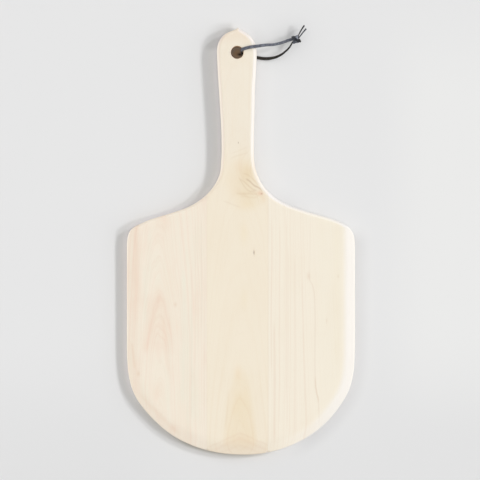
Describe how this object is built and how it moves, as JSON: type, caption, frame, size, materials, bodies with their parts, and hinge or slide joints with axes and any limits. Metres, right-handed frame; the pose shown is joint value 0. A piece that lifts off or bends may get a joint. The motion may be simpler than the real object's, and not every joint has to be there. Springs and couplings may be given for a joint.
{
  "type": "pizza peel",
  "caption": "Short-handled wooden pizza peel: a square blade with rounded far corners and a tapered front edge, edge-glued from staves, with a knotted leather hanging lace through the handle.",
  "frame": {"origin": "middle of the blade's far edge, in the middle of the overall depth; the lowest point of the upright peel", "axes": "+Z from the blade's far edge up the handle to its tip, +X to the right when the front (pizza) face is looked at, -Y out of the front face, +Y out of the rear face"},
  "size_m": [0.3054, 0.0214, 0.5748],
  "materials": {
    "wood_left": "pale close-grained wood, sanded smooth, matt, faint pink streaks",
    "wood_centre": "pale close-grained wood, sanded smooth, matt, flat-sawn figure and a small swirl at the neck",
    "wood_right": "pale close-grained wood, sanded smooth, matt, fine straight grain",
    "leather": "flat cut leather lace, dark slate grey grain side, brown-black flesh side, dull satin"
  },
  "bodies": {
    "board": {"stave_left": "wood_left", "stave_centre": "wood_centre", "stave_right": "wood_right"},
    "lace_loop": {"lace_bight": "leather"},
    "lace_end": {"lace_front_strand": "leather", "lace_rear_strand": "leather", "lace_knot": "leather"},
    "tail_front": {"lace_tail_front": "leather"},
    "tail_rear": {"lace_tail_rear": "leather"}
  },
  "joints": [
    {"name": "loop_swing", "type": "hinge", "parent": "board", "child": "lace_loop", "pos_m": [-0.0052, 0, 0.5379], "axis": [0, -1, 0], "range_deg": [-35, 190]},
    {"name": "loop_fold", "type": "hinge", "parent": "lace_loop", "child": "lace_end", "pos_m": [0.05116, 0, 0.5427], "axis": [0.225, 0, -0.9744], "range_deg": [-35, 35]},
    {"name": "tail_front_bend", "type": "hinge", "parent": "lace_end", "child": "tail_front", "pos_m": [0.0745, 0, 0.561], "axis": [0, -1, 0], "range_deg": [-4, 20]},
    {"name": "tail_rear_bend", "type": "hinge", "parent": "lace_end", "child": "tail_rear", "pos_m": [0.0772, 0, 0.5609], "axis": [0, -1, 0], "range_deg": [-20, 4]}
  ]
}
